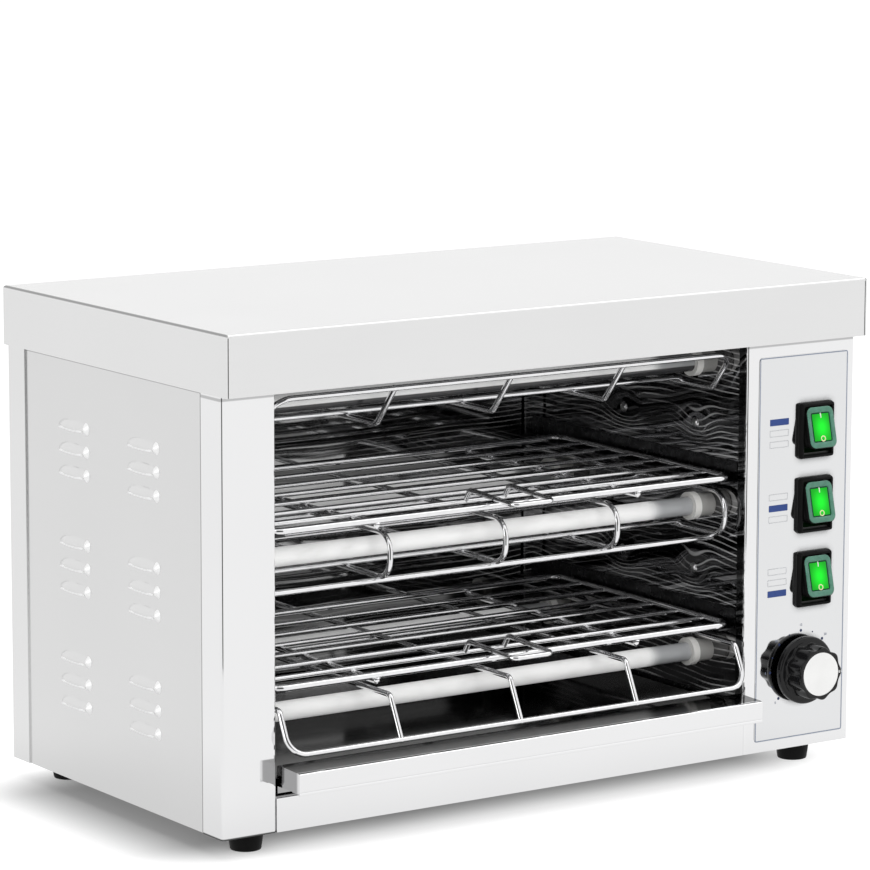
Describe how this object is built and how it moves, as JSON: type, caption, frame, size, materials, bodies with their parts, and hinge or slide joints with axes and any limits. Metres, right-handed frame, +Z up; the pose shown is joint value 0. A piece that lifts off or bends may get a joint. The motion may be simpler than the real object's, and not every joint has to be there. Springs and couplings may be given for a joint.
{
  "type": "salamander grill",
  "caption": "Table-top two-level quartz salamander grill: steel casing, open mirror-lined oven, guarded heater tubes, sliding wire racks, crumb tray, lit rocker switches and a timer knob.",
  "frame": {"origin": "on the floor, under the middle of the whole part's bounding box", "axes": "+X to the right seen from the front, +Y from the front to the rear, +Z up"},
  "size_m": [0.481, 0.2946, 0.3165],
  "materials": {
    "casing_steel": "satin sheet",
    "polished_steel": "polished sheet",
    "mirror_lining": "mirror-polished lining, seen dark",
    "dark_steel": "plain folded strip",
    "bright_wire": "bright plated wire",
    "small_steel": "plated steel",
    "quartz": "milky quartz",
    "ceramic": "unglazed steatite",
    "coil_wire": "resistance wire",
    "terminal_brass": "plain brass",
    "label_film": "printed film",
    "knob_plastic": "black moulding",
    "knob_metal": "spun disc",
    "timer_case": "moulded case",
    "switch_plastic": "black moulding",
    "boot_rubber": "black rubber",
    "lit_green": "lit green lens",
    "green_cover": "clear green cover"
  },
  "bodies": {
    "casing": {"top_cover": "casing_steel", "left_side_panel": "casing_steel", "right_side_panel": "casing_steel", "rear_panel": "casing_steel", "base_plate": "casing_steel", "left_column": "polished_steel", "control_panel": "polished_steel", "lower_rail": "polished_steel", "left_liner": "mirror_lining", "right_liner": "mirror_lining", "back_liner": "mirror_lining", "top_reflector": "mirror_lining", "tray_runners": "dark_steel", "lower_rack_runners": "dark_steel", "upper_rack_runners": "dark_steel", "top_guard": "bright_wire", "middle_guard": "bright_wire", "lower_guard": "bright_wire", "liner_rivets": "small_steel", "timer_nut": "small_steel", "foot_screws": "small_steel", "rear_screws": "small_steel", "lower_front_tube": "quartz", "lower_rear_tube": "quartz", "middle_front_tube": "quartz", "middle_rear_tube": "quartz", "top_front_tube": "quartz", "top_rear_tube": "quartz", "lower_ceramic_caps": "ceramic", "middle_ceramic_caps": "ceramic", "top_ceramic_caps": "ceramic", "terminal_block": "ceramic", "heating_coils": "coil_wire", "terminal_studs": "terminal_brass", "switch_terminals": "terminal_brass", "control_label": "label_film", "timer_body": "timer_case", "lower_switch_housing": "switch_plastic", "middle_switch_housing": "switch_plastic", "upper_switch_housing": "switch_plastic", "cable_gland": "switch_plastic", "lower_switch_boot": "boot_rubber", "middle_switch_boot": "boot_rubber", "upper_switch_boot": "boot_rubber", "feet": "boot_rubber"},
    "crumb_tray": {"crumb_tray": "polished_steel"},
    "lower_rack": {"lower_rack": "bright_wire"},
    "upper_rack": {"upper_rack": "bright_wire"},
    "timer_knob": {"timer_shaft": "small_steel", "control_knob": "knob_plastic", "knob_cap": "knob_metal"},
    "lower_rocker": {"lower_rocker": "lit_green", "lower_rocker_cover": "green_cover"},
    "middle_rocker": {"middle_rocker": "lit_green", "middle_rocker_cover": "green_cover"},
    "upper_rocker": {"upper_rocker": "lit_green", "upper_rocker_cover": "green_cover"}
  },
  "joints": [
    {"name": "tray_slide", "type": "slide", "parent": "casing", "child": "crumb_tray", "axis": [0, -1, 0], "range_m": [0, 0.2]},
    {"name": "lower_rack_slide", "type": "slide", "parent": "casing", "child": "lower_rack", "axis": [0, -1, 0], "range_m": [0, 0.15]},
    {"name": "upper_rack_slide", "type": "slide", "parent": "casing", "child": "upper_rack", "axis": [0, -1, 0], "range_m": [0, 0.15]},
    {"name": "timer_turn", "type": "hinge", "parent": "casing", "child": "timer_knob", "pos_m": [0.198, -0.1252, 0.0644], "axis": [0, -1, 0], "range_deg": [-45, 225]},
    {"name": "lower_switch_rock", "type": "hinge", "parent": "casing", "child": "lower_rocker", "pos_m": [0.2065, -0.1222, 0.123], "axis": [1, 0, 0], "range_deg": [0, 26]},
    {"name": "middle_switch_rock", "type": "hinge", "parent": "casing", "child": "middle_rocker", "pos_m": [0.2065, -0.1222, 0.1714], "axis": [1, 0, 0], "range_deg": [0, 26]},
    {"name": "upper_switch_rock", "type": "hinge", "parent": "casing", "child": "upper_rocker", "pos_m": [0.2065, -0.1222, 0.2198], "axis": [1, 0, 0], "range_deg": [0, 26]}
  ]
}
